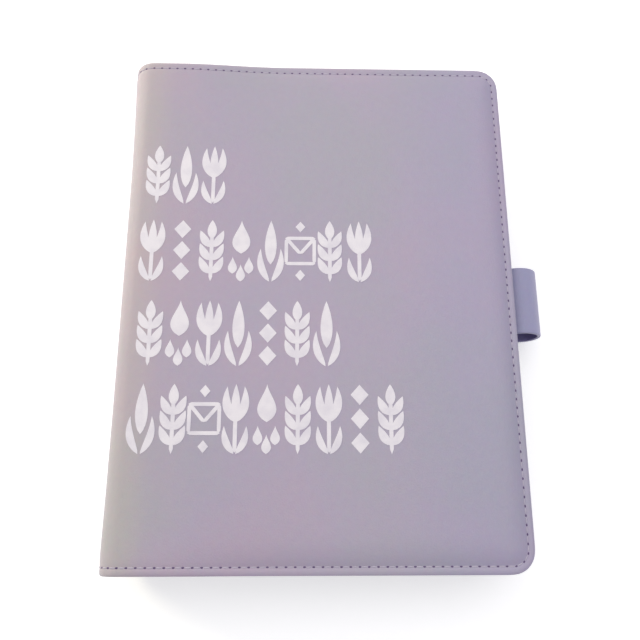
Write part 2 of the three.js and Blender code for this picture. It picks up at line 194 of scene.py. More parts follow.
def bump(material, sources):
    """Stacks bumps, each (pattern, output, distance in metres, strength)."""
    before = None
    for pattern, output, distance, strength in sources:
        node = add(material, "ShaderNodeBump", Strength=strength, Distance=distance)
        join(material, pattern, output, node, "Height")
        if before:
            join(material, before, "Normal", node, "Normal")
        before = node
    join(material, before, "Normal", bsdf_of(material), "Normal")


def vary_roughness(material, pattern, low, high):
    gloss = add(material, "ShaderNodeMapRange")
    gloss.inputs["To Min"].default_value = low
    gloss.inputs["To Max"].default_value = high
    join(material, pattern, "Fac", gloss, "Value")
    join(material, gloss, "Result", bsdf_of(material), "Roughness")


# %% [markdown]
# The cover is coated leather: a smooth skin of colour with a fine pore grain, a pearl sheen, and a
# cloudy tint that drifts between grey lilac, pink and a cool grey. The drift is a slow noise through a
# ramp, the pores are a fine cell pattern in the bump, and the roughness varies a little.

# %% Cover leather
PEARL = {"Coat_Weight": 0.18, "Coat_Roughness": 0.35, "Sheen_Weight": 0.12, "Sheen_Roughness": 0.5}
SPECK_SHARE = 0.10


def coated_leather(name, tints, roughness, pore=1100.0):
    material = shader(name, tints[1], roughness, **PEARL)
    cloud = grain(material, 17.0, 3.0)
    cloud.inputs["Roughness"].default_value = 0.5
    tint = ramp(material, cloud, "Fac", [(0.34, tints[0]), (0.5, tints[1]), (0.66, tints[2])])
    speck = grain(material, 420.0, 3.0)
    mix = add(material, "ShaderNodeMix", data_type="RGBA", blend_type="SOFT_LIGHT")
    mix.inputs[0].default_value = SPECK_SHARE
    join(material, tint, "Color", mix, 6)
    join(material, speck, "Color", mix, 7)
    join(material, mix, 2, bsdf_of(material), "Base Color")
    pores = grain(material, pore, texture="ShaderNodeTexVoronoi")
    creases = grain(material, 260.0, 6.0)
    swell = grain(material, 34.0, 2.0)
    bump(material, [
        (swell, "Fac", 0.0012, 0.12),
        (creases, "Fac", 0.0003, 0.22),
        (pores, "Distance", 0.00012, 0.35),
    ])
    vary_roughness(material, creases, roughness - 0.07, roughness + 0.09)
    return material


LILAC = ((0.487, 0.395, 0.520), (0.461, 0.398, 0.525), (0.439, 0.407, 0.501))
COVER = coated_leather("pearl_lilac_leather", LILAC, 0.46)
print("cover leather", len(COVER.node_tree.nodes), "nodes")

# %% [markdown]
# On the cover the tint also drifts from side to side: creamy over the fold, which is a painted highlight of
# the warm light from the spine side, and cooler and bluer towards the fore edge. It is a ramp along X,
# multiplied into the colour.

# %% Drift across the cover, with a painted highlight on the fold


def tint_and_painted_highlight_across(material, start_x, end_x, stops):
    before = bsdf_of(material).inputs["Base Color"].links[0].from_socket
    place = add(material, "ShaderNodeTexCoord")
    split = add(material, "ShaderNodeSeparateXYZ")
    along = add(material, "ShaderNodeMapRange")
    along.inputs["From Min"].default_value = start_x * MM
    along.inputs["From Max"].default_value = end_x * MM
    join(material, place, "Object", split, "Vector")
    join(material, split, "X", along, "Value")
    tone = ramp(material, along, "Result", stops)
    tone.color_ramp.interpolation = "EASE"
    mix = add(material, "ShaderNodeMix", data_type="RGBA", blend_type="MULTIPLY")
    mix.inputs[0].default_value = 1.0
    material.node_tree.links.new(before, mix.inputs[6])
    join(material, tone, "Color", mix, 7)
    join(material, mix, 2, bsdf_of(material), "Base Color")


EVEN = (0.87, 0.87, 0.87)
# Painted highlight: the cream stops beside the fold stand in for warm light from the spine side, which the
# side lamps also give.
tint_and_painted_highlight_across(COVER, SPINE_X, FORE_X, [
    (0.0, (0.88, 0.87, 0.855)), (0.014, (0.94, 0.95, 0.83)), (0.05, (0.99, 0.99, 0.83)),
    (0.13, (0.90, 0.89, 0.86)), (0.24, EVEN), (0.62, EVEN), (0.9, (0.825, 0.84, 0.90)),
])
LAVENDER = ((0.365, 0.345, 0.545), (0.35, 0.335, 0.53), (0.34, 0.33, 0.51))
# The loop's inside gets a darker violet: painted shade inside the loop.
SHADE_VIOLET = ((0.29, 0.25, 0.50), (0.27, 0.23, 0.47), (0.25, 0.22, 0.44))
GREY_LILAC = ((0.42, 0.39, 0.47), (0.41, 0.385, 0.465), (0.40, 0.385, 0.455))
LOOP = coated_leather("lilac_loop_leather", LAVENDER, 0.5)
LOOP_INSIDE_SHADE = coated_leather("violet_loop_painted_shade", SHADE_VIOLET, 0.7)
LINING = coated_leather("lilac_lining", GREY_LILAC, 0.62, 700.0)
print("leathers", COVER.name, LOOP.name, LOOP_INSIDE_SHADE.name, LINING.name)

# %% [markdown]
# Thread, needle holes, print, metal, film, zip and board need only short recipes. Polished nickel still
# gets a faint brushed bump, because a perfectly smooth metal looks like a drawing of one.

# %% Other finishes
THREAD = shader("lilac_thread", (0.49, 0.45, 0.55), 0.6)
bump(THREAD, [(grain(THREAD, 2600.0, 2.0), "Fac", 0.0001, 0.6)])
# Needle holes are small dark bumps: their colour is painted shade, standing for the hollow of a hole.
HOLE_SHADE = shader("needle_hole_shade", (0.13, 0.09, 0.19), 0.9)
bump(HOLE_SHADE, [(grain(HOLE_SHADE, 3000.0, 2.0), "Fac", 0.0001, 0.4)])

PRINT = shader("white_print", (0.80, 0.76, 0.82), 0.5)
print_noise = grain(PRINT, 160.0, 5.0)
print_tint = ramp(PRINT, print_noise, "Fac", [(0.3, (0.74, 0.70, 0.78)), (0.6, (0.83, 0.79, 0.85))])
join(PRINT, print_tint, "Color", bsdf_of(PRINT), "Base Color")
bump(PRINT, [(grain(PRINT, 1100.0, texture="ShaderNodeTexVoronoi"), "Distance", 0.0001, 0.3)])

NICKEL = shader("nickel_plate", (0.60, 0.595, 0.59), 0.24, Metallic=1.0)
nickel_scratch = grain(NICKEL, 90.0, 8.0)
bump(NICKEL, [(nickel_scratch, "Fac", 0.0002, 0.08)])
vary_roughness(NICKEL, nickel_scratch, 0.14, 0.30)

FILM = shader("clear_film", (0.97, 0.975, 0.99), 0.16, Alpha=0.30, Coat_Weight=0.2)
bump(FILM, [(grain(FILM, 40.0, 3.0), "Fac", 0.0008, 0.25)])

ZIP = shader("white_zip", (0.82, 0.81, 0.84), 0.4)
zip_waves = grain(ZIP, 260.0, 0.0, "ShaderNodeTexWave")
zip_waves.wave_profile = "SAW"
bump(ZIP, [(zip_waves, "Fac", 0.0004, 0.5)])

SLIDER = shader("blue_slider", (0.30, 0.34, 0.55), 0.35)
bump(SLIDER, [(grain(SLIDER, 900.0, 3.0), "Fac", 0.0001, 0.3)])

BOARD = shader("grey_board", (0.42, 0.40, 0.37), 0.9)
board_fibre = grain(BOARD, 500.0, 6.0)
board_tint = ramp(BOARD, board_fibre, "Fac", [(0.3, (0.34, 0.32, 0.30)), (0.7, (0.47, 0.45, 0.42))])
join(BOARD, board_tint, "Color", bsdf_of(BOARD), "Base Color")
print("finishes", len(bpy.data.materials), "materials")

# %% [markdown]
# The boards and the ring mechanism's plate, blades, levers and rivets are already right in the frame, so
# they stay as they are and only get a finish. That is safer than a second model of the same thing.

# %% Finishes on the frame's pieces


def finish_nodes(material, *names):
    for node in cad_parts:
        if node.startswith(names):
            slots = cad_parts[node].data.materials
            slots.clear()
            slots.append(material)
            print(node, material.name)


finish_nodes(BOARD, "front_board", "back_board", "spine_board")
finish_nodes(NICKEL, "ring_plate", "rivet", "lever", "upper_blade", "lower_blade")

# %% [markdown]
# Now the leather. A flat grid is the blank: its rows are crowded near the edges, where the skin turns over
# the edge, dips at the stitches and rises again over the padding. Each vertex is then laid on the folded
# cover. The grid's square corners are drawn in to round ones by sliding each corner point along its own
# direction. The padding runs out full at the spine, where leather is folded over leather, and thin at the
# fore edge, so two profiles are mixed along the way.

# %% Height of the padding
HEM_FOOT = 3.3
HEM_FORE = 2.8
THIN_HEM = [
    (0.0, 1.85), (0.3, 2.15), (0.8, 2.30), (1.5, 2.36), (2.1, 2.28), (2.6, 2.12), (3.0, 2.12), (3.6, 2.42),
    (4.6, 2.86), (6.0, 3.28), (8.0, 3.66), (10.5, 3.90), (14.0, 4.0),
]
FULL_HEM = [
    (0.0, 3.05), (0.3, 3.42), (0.8, 3.62), (1.5, 3.72), (2.1, 3.68), (2.6, 3.56), (3.0, 3.56), (3.6, 3.70),
    (4.6, 3.80), (6.0, 3.88), (8.0, 3.94), (10.5, 3.98), (14.0, 4.0),
]
FULL_UNTIL = 12.0
THIN_FROM = 62.0
TURN_T = 0.9
HEAD_BULGE = 1.2
FOOT_BULGE = 0.5
BULGE_FROM = 40.0
BULGE_OVER = 70.0


def along(profile, edge):
    for (e0, t0), (e1, t1) in zip(profile, profile[1:]):
        if edge <= e1:
            return t0 + (t1 - t0) * (edge - e0) / (e1 - e0)
    return profile[-1][1]


def clamp(value):
    return min(max(value, 0.0), 1.0)


def eased(share):
    """0 up to 0 and 1 from 1 on, with a soft change between."""
    share = clamp(share)
    return share * share * (3 - 2 * share)


def thinness(cover, run):
    """0 on the spine and its folds, and 1 out on the panel."""
    return eased((run - cover.fold_end - FULL_UNTIL) / (THIN_FROM - FULL_UNTIL))


def fullness(cover, run, y):
    """How far the folded leather stands out at the ends of the spine, and nowhere on the table side."""
    far = clamp((abs(y) - BULGE_FROM) / BULGE_OVER)
    stand = (HEAD_BULGE if y > 0 else FOOT_BULGE) * far * far
    return stand if cover.up else stand * max(0.0, 1 - run / FLAT_RUN)


def pad_height(cover, run, y, edge):
    mix = thinness(cover, run)
    full = along(FULL_HEM, edge) + fullness(cover, run, y)
    return full * (1 - mix) + along(THIN_HEM, edge) * mix


def edge_distance(from_fore, from_foot):
    """How deep a point lies inside the edge, with the hem wider along head and foot."""
    narrow = HEM_FORE / HEM_FOOT
    if from_fore >= CORNER_R or from_foot >= CORNER_R:
        return min(from_fore, from_foot * narrow)
    p = (CORNER_R - from_fore) / CORNER_R
    q = (CORNER_R - from_foot) / CORNER_R
    reach = math.hypot(p, q)
    share = (q / reach) ** 2 if reach > 0 else 0.5
    return CORNER_R * (1 - reach) * (1 + (narrow - 1) * share)


def round_corner(from_fore, from_foot):
    if from_fore >= CORNER_R or from_foot >= CORNER_R:
        return from_fore, from_foot
    p = (CORNER_R - from_fore) / CORNER_R
    q = (CORNER_R - from_foot) / CORNER_R
    pull = max(p, q) / max(math.hypot(p, q), 1e-9)
    return CORNER_R * (1 - p * pull), CORNER_R * (1 - q * pull)


def softness(point):
    """The slow unevenness of padding under leather, in millimetres, never above the crown."""
    slow = noise.noise(point * 16.0 + Vector((3.1, 0.7, 5.2)))
    quick = noise.noise(point * 45.0)
    return -0.14 - 0.10 * slow - 0.04 * quick


def skin_height(cover, run, y):
    """Height of the finished leather over any point of the blank."""
    edge = edge_distance(cover.length - run, HALF_H - abs(y))
    height = pad_height(cover, run, y, edge)
    padded = min(1.0, edge / THIN_HEM[-1][0])
    return height + softness(cover.place(run, y, height)) * padded


for run in (0.0, FRONT.length - HEM_FORE, FRONT.length - CORNER_R):
    print("leather at", round(run, 1), "mm stands", round(skin_height(FRONT, run, 0.0), 2), "mm high")

# %% [markdown]
# On the real cover the edge is skived thin and turned under. The same can be done with the grid's outer
# lines: each line has a distance inside the edge, and a share of the height there, and the first ones
# turn the skin under the edge, up it and over. A fold cut from one sheet has no seam to hide.

# %% Leather skins
TURN_LINES = [(2.4, 0.0), (0.4, 0.0), (0.0, 0.12), (0.0, 0.6)]
INNER_LINES = [0.0, 0.12, 0.35, 0.8, 1.5, 2.1, 2.6, 3.0, 3.6, 4.6, 6.0, 8.0, 10.5, 14.0]
EDGE_LINES = TURN_LINES + [(line, 1.0) for line in INNER_LINES]
SKIN_T = 0.6


def spread(start, stop, step):
    count = max(1, round((stop - start) / step))
    return [start + (stop - start) * i / count for i in range(count + 1)]


def deselect():
    bpy.ops.object.select_all(action="DESELECT")


def sheet_of(name, columns, rows, place):
    """A grid whose every vertex goes where place(column, row) says."""
    deselect()
    bpy.ops.mesh.primitive_grid_add(x_subdivisions=len(columns) - 1, y_subdivisions=len(rows) - 1, size=1)
    sheet = bpy.context.object
    sheet.name = name
    for vertex in sheet.data.vertices:
        column = columns[round((vertex.co.x + 0.5) * (len(columns) - 1))]
        row = rows[round((vertex.co.y + 0.5) * (len(rows) - 1))]
        vertex.co = place(column, row)
    return sheet


def modify(piece, kind, **settings):
    """Gives the active piece a modifier and applies it."""
    modifier = piece.modifiers.new(kind.lower(), kind)
    for key, value in settings.items():
        setattr(modifier, key, value)
    bpy.ops.object.modifier_apply(modifier=modifier.name)


def smooth(degrees):
    bpy.ops.object.shade_smooth_by_angle(angle=math.radians(degrees))


def run_lines(cover):
    """Lines across the blank, from the spine to the fore edge: (run, share of the height)."""
    lines = spread(0.0, FLAT_RUN, 2.8)[:-1] + spread(FLAT_RUN, cover.fold_end, 1.1)[:-1]
    lines += spread(cover.fold_end, cover.length - EDGE_LINES[-1][0], 5.0)[:-1]
    ends = [(cover.length - line, share) for line, share in reversed(EDGE_LINES)]
    return [(line, 1.0) for line in lines] + ends


def height_lines():
    wide = [(line * HEM_FOOT / HEM_FORE, share) for line, share in EDGE_LINES]
    rows = [(-HALF_H + line, share) for line, share in wide]
    rows += [(line, 1.0) for line in spread(-HALF_H + wide[-1][0], HALF_H - wide[-1][0], 5.0)[1:-1]]
    return rows + [(HALF_H - line, share) for line, share in reversed(wide)]


def keep_round(piece, cover):
    """Pulls in the few points that the wall pushes past the round of a corner."""
    centre_x = cover.place(cover.length - CORNER_R, 0.0, COVER_T / 2).x
    centre_y = (HALF_H - CORNER_R) * MM
    for vertex in piece.data.vertices:
        dx, dy = vertex.co.x - centre_x, abs(vertex.co.y) - centre_y
        past = math.hypot(dx, dy) / (CORNER_R * MM)
        if dx > 0 and dy > 0 and past > 1:
            vertex.co.x = centre_x + dx / past
            vertex.co.y = math.copysign(centre_y + dy / past, vertex.co.y)


def leather(name, cover):
    def place(run_line, height_line):
        run, run_share = run_line
        y, row_share = height_line
        from_fore, from_foot = round_corner(cover.length - run, HALF_H - abs(y))
        run = cover.length - from_fore
        y = math.copysign(HALF_H - from_foot, y)
        share = min(run_share, row_share)
        height = TURN_T + (skin_height(cover, run, y) - TURN_T) * share
        return cover.place(run, y, height)

    skin = sheet_of(name, run_lines(cover), height_lines(), place)
    if not cover.up:
        skin.data.flip_normals()
    modify(skin, "SUBSURF", levels=1, render_levels=1)
    modify(skin, "SOLIDIFY", thickness=SKIN_T * MM, offset=-1)
    keep_round(skin, cover)
    smooth(50)
    skin.data.materials.append(COVER)
    print(name, len(skin.data.polygons), "faces")
    return skin


FOLD_LINE = {
    "front": ((SPINE_X, 0, SPINE_DEPTH - FOLD_R), (SPINE_X + FOLD_R, 0, SPINE_DEPTH)),
    "back": ((SPINE_X, 0, FOLD_R), (SPINE_X + FOLD_R, 0, 0)),
}


def bend_with(piece, side):
    """Bakes the piece's place into its mesh. The fold line of its side is looked up, and nothing more is done
    with it.
    """
    start, end = (tuple(v * MM for v in point) for point in FOLD_LINE[side])
    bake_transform(piece)
    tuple(start)
    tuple(end)


front_leather = leather("front_leather", FRONT)
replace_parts(front_leather, "front_skin", "front_fold_leather", "spine_skin")
bend_with(front_leather, "front")
back_leather = leather("back_leather", BACK)
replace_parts(back_leather, "back_skin", "back_fold_leather")
bend_with(back_leather, "back")

# %% [markdown]
# Inside, a thinner leather lines the cover from edge to edge, through both folds. It is the same kind of
# grid, laid on the inner face, pulled flat at the seam and a little slack between.

# %% Linings
LINING_INSET = 1.1
LINING_WALL = 0.5
LINING_SEAM = 2.2
LINING_LIFT = 0.1
LINING_SLACK = 0.16
LINING_PULL = 0.22


def lining_height(cover, run, y):
    edge = min(cover.length - run, HALF_H - abs(y)) - LINING_INSET
    slack = clamp((edge - 4.0) / 12.0)
    wave = 0.5 + 0.5 * noise.noise(cover.place(run, y, 0.0) * 22.0)
    pulled = LINING_PULL * max(0.0, 1 - abs(edge - LINING_SEAM) / 1.4)
    return LINING_LIFT + LINING_SLACK * slack * wave + pulled


def bend_inside_with(piece, cover, side):
    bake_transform(piece)


def inner_sheet(name, cover, runs, shares, y_at, height_at, wall):
    """A sheet inside the cover. Its rows lie at y_at(run, share), its wall lies towards the leather."""

    def place(run, share):
        y = y_at(run, share)
        return cover.place(run, y, height_at(run, y))

    sheet = sheet_of(name, runs, shares, place)
    if cover.up:
        sheet.data.flip_normals()
    modify(sheet, "SOLIDIFY", thickness=wall * MM, offset=-1)
    smooth(45)
    sheet.data.materials.append(LINING)
    print(name, len(sheet.data.polygons), "faces")
    return sheet


def corner_reach(run, cover):
    """Half the height that a lining has at this place, less where the corner rounds it."""
    radius = CORNER_R - LINING_INSET
    past = run - (cover.length - LINING_INSET - radius)
    drop = radius - math.sqrt(max(radius * radius - past * past, 0.0)) if past > 0 else 0.0
    return HALF_H - LINING_INSET - drop


LINING_ENDS = (9, 7.5, 6, 4.6, 3.4, 2.4, 1.6, 0.9, 0.4, 0.1, 0.0)
LINING_EDGE = (0.0, 0.005, 0.011, 0.018, 0.025, 0.036)


def make_lining(name, cover, side):
    end = cover.length - LINING_INSET
    runs = spread(0.0, FLAT_RUN, 3.6)[:-1] + spread(FLAT_RUN, cover.fold_end, 1.4)[:-1]
    runs += spread(cover.fold_end, end - 11, 5.0) + [end - inset for inset in LINING_ENDS]
    shares = [*LINING_EDGE, *(0.05 + 0.9 * i / 36 for i in range(37))]
    shares += [1 - share for share in reversed(LINING_EDGE)]
    sheet = inner_sheet(
        name, cover, runs, shares,
        lambda run, share: (2 * share - 1) * corner_reach(run, cover),
        lambda run, y: lining_height(cover, run, y), LINING_WALL,
    )
    bend_inside_with(sheet, cover, side)
    return sheet


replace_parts(make_lining("front_lining_leather", FRONT, "front"), "front_lining", "spine_lining")
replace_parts(make_lining("back_lining_leather", BACK, "back"), "back_lining")

# %% [markdown]
# Pockets are sewn on the linings: a slip pocket in each cover, and three card slots in the front one. A
# pocket is a grid whose top row follows the mouth with its thumb notch. Along the three sewn sides it is
# pulled down to what it is sewn on.

# %% Pockets
POCKET_WALL = 0.45
POCKET_SLACK = 0.25
POCKET_HEM = 0.25
HEM_WIDTH = 3.6
SEAM_INSET = 2.0
MOUTH_INSET = 1.0
THUMB_R = 11.0
SEWN_LINES = (0.0, 0.4, 0.8, 1.2, 1.6, 2.0, 2.5, 3.0, 4.0, 5.0)
MOUTH_LINES = (3.9, 3.4, 2.4, 0.9, 0.5, 0.2, 0.0)
THUMB_LINES = (4, 7, 9, 10.2, 10.8, 11)


def pocket(name, cover, side, x0, x1, y0, y1, level, node):
    """A pocket from x0 to x1 past the fold, y0 to its mouth y1; level 1 lies on the lining."""
    middle = (x0 + x1) / 2
    depth = y1 - y0
    across = [x0 + line for line in SEWN_LINES] + spread(x0 + 5, x1 - 5, 4.0)
    across += [x1 - line for line in SEWN_LINES]
    across += [middle + way * line for way in (-1, 1) for line in THUMB_LINES]
    runs = [cover.fold_end + x for x in sorted({round(x, 2) for x in across})]
    shares = [line / depth for line in SEWN_LINES] + spread(7.0 / depth, 1 - 6.0 / depth, 4.0 / depth)
    shares += [1 - line / depth for line in MOUTH_LINES]

    def mouth(run):
        off = run - cover.fold_end - middle
        return y1 - math.sqrt(max(THUMB_R * THUMB_R - off * off, 0.0))

    def height(run, y):
        x = run - cover.fold_end
        edge = min(x - x0, x1 - x, y - y0)
        rolled = 1 - min(edge / 1.2, 1.0)
        seam = max(0.0, 1 - abs(edge - SEAM_INSET))
        sewn = eased((edge - 2.2) / 4.0)
        wave = noise.noise(cover.place(run, y, 0.0) * 26.0 + Vector((0, 0, level)))
        lip = mouth(run) - y
        hem = POCKET_HEM if lip < HEM_WIDTH else 0.0
        hem -= 0.3 * max(0.0, 1 - lip / 0.8)
        rise = 0.75 - 0.55 * rolled * rolled - 0.22 * seam + 0.45 * sewn + hem
        return 1 - level - rise + POCKET_SLACK * sewn * (0.5 + 0.5 * wave)

    sheet = inner_sheet(
        name, cover, runs, shares, lambda run, share: y0 + (mouth(run) - y0) * share, height, POCKET_WALL,
    )
    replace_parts(sheet, node)
    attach(sheet, f"{side}_cover")
    left, right = cover.fold_end + x0 + SEAM_INSET, cover.fold_end + x1 - SEAM_INSET
    top, low = y1 - MOUTH_INSET, y0 + SEAM_INSET
    return [(left, top), (left, low), (right, low), (right, top)], height


print("pocket walls", POCKET_WALL, "mm, their seams", SEAM_INSET, "mm inside the edge")

# %% [markdown]
# Every seam is a row of short stitches. One stitch is modelled from a small sphere drawn out to a capsule,
# and one needle hole from a flattened sphere, dark all over as painted shade of the hole. Both are then
# copied along the seam into one mesh, each copy turned to follow it.

# %% Stitches
STITCH_PITCH = 3.65
STITCH_LENGTH = 2.7
THREAD_D = 0.55
HOLE_SIZE = (1.15, 0.9, 0.3)
OUTER_LIFT = 0.02
INNER_LIFT = 0.06


def edge_path(cover):
    """The seam round one cover, from the spine along the head, down the fore edge and back."""
    radius = CORNER_R - (HEM_FORE + HEM_FOOT) / 2
    top = HALF_H - HEM_FOOT
    right = cover.length - HEM_FORE
    path = [(0.0, top), (right - radius, top)]
    for i in range(1, 12):
        angle = math.pi / 2 * (1 - i / 12)
        path.append((right - radius + radius * math.cos(angle), top - radius + radius * math.sin(angle)))
    path.append((right, top - radius))
    return path + [(run, -y) for run, y in reversed(path)]


def stitch_points(path):
    """Middle and direction of every stitch along a path."""
    points = []
    ahead = STITCH_PITCH / 2
    for (r0, y0), (r1, y1) in zip(path, path[1:]):
        length = math.hypot(r1 - r0, y1 - y0)
        while ahead <= length:
            along_run, along_y = (r1 - r0) / length, (y1 - y0) / length
            points.append((r0 + along_run * ahead, y0 + along_y * ahead, along_run, along_y))
            ahead += STITCH_PITCH
        ahead -= length
    return points


def template(segments, rings, size):
    deselect()
    bpy.ops.mesh.primitive_uv_sphere_add(segments=segments, ring_count=rings, radius=0.5)
    pattern = bpy.context.object
    verts = [Vector((v.co.z * size[0], v.co.y * size[1], v.co.x * size[2])) for v in pattern.data.vertices]
    faces = [tuple(face.vertices) for face in pattern.data.polygons]
    bpy.data.objects.remove(pattern)
    return verts, faces


def mesh_piece(name, verts, faces, material):
    """A new mesh, left selected and active."""
    mesh = bpy.data.meshes.new(name)
    mesh.from_pydata(verts, [], faces)
    mesh.shade_smooth()
    mesh.materials.append(material)
    piece = bpy.data.objects.new(name, mesh)
    bpy.context.collection.objects.link(piece)
    deselect()
    bpy.context.view_layer.objects.active = piece
    piece.select_set(True)
    return piece


def tidy_normals():
    bpy.ops.object.mode_set(mode="EDIT")
    bpy.ops.mesh.select_all(action="SELECT")
    bpy.ops.mesh.remove_doubles(threshold=0.002 * MM)
    bpy.ops.mesh.normals_make_consistent(inside=False)
    bpy.ops.object.mode_set(mode="OBJECT")


def row_of(name, cover, path, height_at, way, pattern, shift, material, lift):
    """Copies of a pattern along the path. way is 1 on the outside of the cover and -1 on its inside."""
    verts, faces = pattern
    all_verts, all_faces = [], []
    for run, y, along_run, along_y in stitch_points(path):
        at_run = run + along_run * shift
        at_y = y + along_y * shift
        height = height_at(at_run, at_y) + way * lift
        centre = cover.place(at_run, at_y, height)
        ahead = cover.place(at_run + along_run * 0.2, at_y + along_y * 0.2, height) - centre
        out = cover.place(at_run, at_y, height + way) - centre
        ahead.normalize()
        out = (out - ahead * out.dot(ahead)).normalized()
        side = out.cross(ahead)
        first = len(all_verts)
        all_verts += [centre + (ahead * v.x + side * v.y + out * v.z) * MM for v in verts]
        all_faces += [tuple(first + index for index in face) for face in faces]
    piece = mesh_piece(name, all_verts, all_faces, material)
    tidy_normals()
    print(name, len(all_faces), "faces")
    return piece


STITCH = template(8, 6, (STITCH_LENGTH, THREAD_D, THREAD_D * 0.8))
HOLE = template(8, 4, HOLE_SIZE)
print("a stitch has", len(STITCH[1]), "faces and a needle hole", len(HOLE[1]))

# %% [markdown]
# One seam runs round each cover, and its thread shows outside and inside. Both sides are made from the
# same path. The outer rows sit on the padding's height and the inner ones on the lining's, so they follow
# every rise, and they bend with the fold as the leather does.

# %% Seams round the covers


def sew(name, holes, cover, path, height_at, way, lift):
    """A row of stitches with a needle hole, a dark mark of painted shade, between each two."""
    stitches = row_of(name, cover, path, height_at, way, STITCH, 0.0, THREAD, lift)
    return stitches, row_of(holes, cover, path, height_at, way, HOLE, STITCH_PITCH / 2, HOLE_SHADE, 0.0)


for side, cover in (("front", FRONT), ("back", BACK)):
    path = edge_path(cover)
    outside = partial(skin_height, cover)
    for row in sew(f"{side}_stitches", f"{side}_needle_holes", cover, path, outside, 1, OUTER_LIFT):
        bend_with(row, side)
    inside = partial(lining_height, cover)
    for row in sew(f"{side}_inner_stitches", f"{side}_inner_hole_shades", cover, path, inside, -1, INNER_LIFT):
        bend_inside_with(row, cover, side)

# %% [markdown]
# The front cover holds a slip pocket with three card slots over it, each a step lower than the one
# below it, and the back cover holds a slip pocket that ends before the pen loop. All are the same shape
# in other sizes, so they are rows of a table, which one loop works through.

# %% Pockets and their seams
POCKET_INSET = 7.0
POCKET_DEPTH = 150.0
SLOT_X0, SLOT_X1 = 21.0, 113.0
SLOT_TOP = 129.0
SLOT_STEP = 14.0
SLOT_DEPTH = 60.0
FOOT = POCKET_INSET - HALF_H
MOUTH = FOOT + POCKET_DEPTH
FRONT_END = FRONT.length - FRONT.fold_end - POCKET_INSET
BACK_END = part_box("back_slip_pocket")[1][0] / MM - SPINE_X - FOLD_R
POCKETS = [
    ("front_slip_leather", FRONT, "front", POCKET_INSET, FRONT_END, FOOT, MOUTH, 1, "front_slip_pocket"),
    ("back_slip_leather", BACK, "back", POCKET_INSET, BACK_END, FOOT, MOUTH, 1, "back_slip_pocket"),
]
for number in range(3):
    top = FOOT + SLOT_TOP - SLOT_STEP * number
    node = f"card_slot_{number + 1}"
    shape = (SLOT_X0, SLOT_X1, top - SLOT_DEPTH, top)
    POCKETS.append((f"{node}_leather", FRONT, "front", *shape, number + 2, node))
for item in POCKETS:
    path, height_at = pocket(*item)
    name, cover, side = item[:3]
    for row in sew(f"{name}_stitches", f"{name}_holes", cover, path, height_at, -1, INNER_LIFT):
        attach(row, f"{side}_cover")

# %% [markdown]
# White motifs are printed on the front in four rows: sprigs, tulips, buds, drops and little envelopes. A
# decal image would be the usual way, but shapes keep sharp edges at any size. Each motif is put together
# from a few strokes. A stroke is a narrow grid whose width swells along its length, laid a hair above the
# leather, so that the ink follows every rise of the padding.

# %% One stroke of ink
INK_T = 0.08
STROKE_STEPS = 12


def stroke_grid():
    deselect()
    bpy.ops.mesh.primitive_grid_add(x_subdivisions=STROKE_STEPS, y_subdivisions=4, size=1)
    pattern = bpy.context.object
    verts = [(v.co.x + 0.5, v.co.y) for v in pattern.data.vertices]
    faces = [tuple(face.vertices) for face in pattern.data.polygons]
    bpy.data.objects.remove(pattern)
    return verts, faces


STROKE = stroke_grid()
SWELL = {
    "leaf": lambda u: math.sin(math.pi * u ** 0.8) ** 0.85,
    "drop": lambda u: math.sin(math.pi * u ** 1.7) ** 0.8,
    "stem": lambda u: max(0.0, 1 - (2 * u - 1) ** 10) ** 0.5,
    "gem": lambda u: 1 - abs(2 * u - 1),
}


def stroke(kind, x0, y0, x1, y1, width, bow=0.0):
    """The points of one stroke from (x0, y0) to (x1, y1), bowed sideways by a share of its length."""
    length = math.hypot(x1 - x0, y1 - y0)
    ax, ay = (x1 - x0) / length, (y1 - y0) / length
    points = []
    for u, v in STROKE[0]:
        side = v * width * SWELL[kind](clamp(u)) + bow * length * 4 * u * (1 - u)
        points.append((x0 + ax * length * u - ay * side, y0 + ay * length * u + ax * side))
    return points


print("a stroke has", len(STROKE[1]), "faces")

# %% [markdown]
# Every motif stands on (0, 0) and is 29 mm tall, about as tall as the real print at this scale. Plants are
# nearly symmetrical, so a stroke is drawn for one side and again for the other.

# %% Motifs
SIDES = (-1, 1)


def sprig():
    parts = [stroke("stem", 0, 0, 0, 23, 1.7)]
    for y in (3.6, 9.8, 16):
        parts += [stroke("leaf", side * 0.5, y, side * 5.2, y + 8.0, 3.6, side * -0.06) for side in SIDES]
    return parts + [stroke("leaf", 0, 20, 0, 29, 4.2)]


def tulip():
    parts = [stroke("stem", 0, 0.5, 0, 15, 1.7)]
    parts += [stroke("leaf", side * 0.4, 13, side * 3.6, 28, 3.8, side * -0.11) for side in SIDES]
    parts += [stroke("leaf", 0, 14, 0, 29, 3.6)]
    return parts + [stroke("leaf", side * 0.4, 0, side * 4.6, 11.5, 3.0, side * -0.11) for side in SIDES]


def drops():
    parts = [stroke("drop", 0, 29, 0, 13, 8.0)]
    return parts + [stroke("drop", x, y + 8, x, y, 4.0) for x, y in ((-3.6, 3.6), (3.6, 3.6), (0, 0))]


def gems():
    return [stroke("gem", 0, y, 0, y + 8.6, 7.6) for y in (0.2, 10.2, 20.2)]


def little_envelope():
    low, high, half = 8.5, 20.5, 6.2
    parts = [stroke("stem", -half - 0.6, y, half + 0.6, y, 1.6) for y in (low, high)]
    parts += [stroke("stem", side * half, low, side * half, high, 1.6) for side in SIDES]
    parts += [stroke("stem", side * half, high, 0, low + 4.6, 1.6) for side in SIDES]
    return parts + [stroke("gem", 0, y, 0, y + 5.2, 4.4) for y in (23.4, 0.4)]


def bud():
    parts = [stroke("leaf", 0, 8, 0, 29, 5.2)]
    return parts + [stroke("leaf", side * 0.5, 0, side * 4.4, 15.5, 3.2, side * -0.11) for side in SIDES]


print("a sprig has", len(sprig()), "strokes")

# %% [markdown]
# Ink is a film with a thickness of its own, so all strokes become one thin solid on the leather. Strokes
# cross inside a motif, and each lies a few thousandths of a millimetre over the last, which keeps two
# faces from sharing a place.

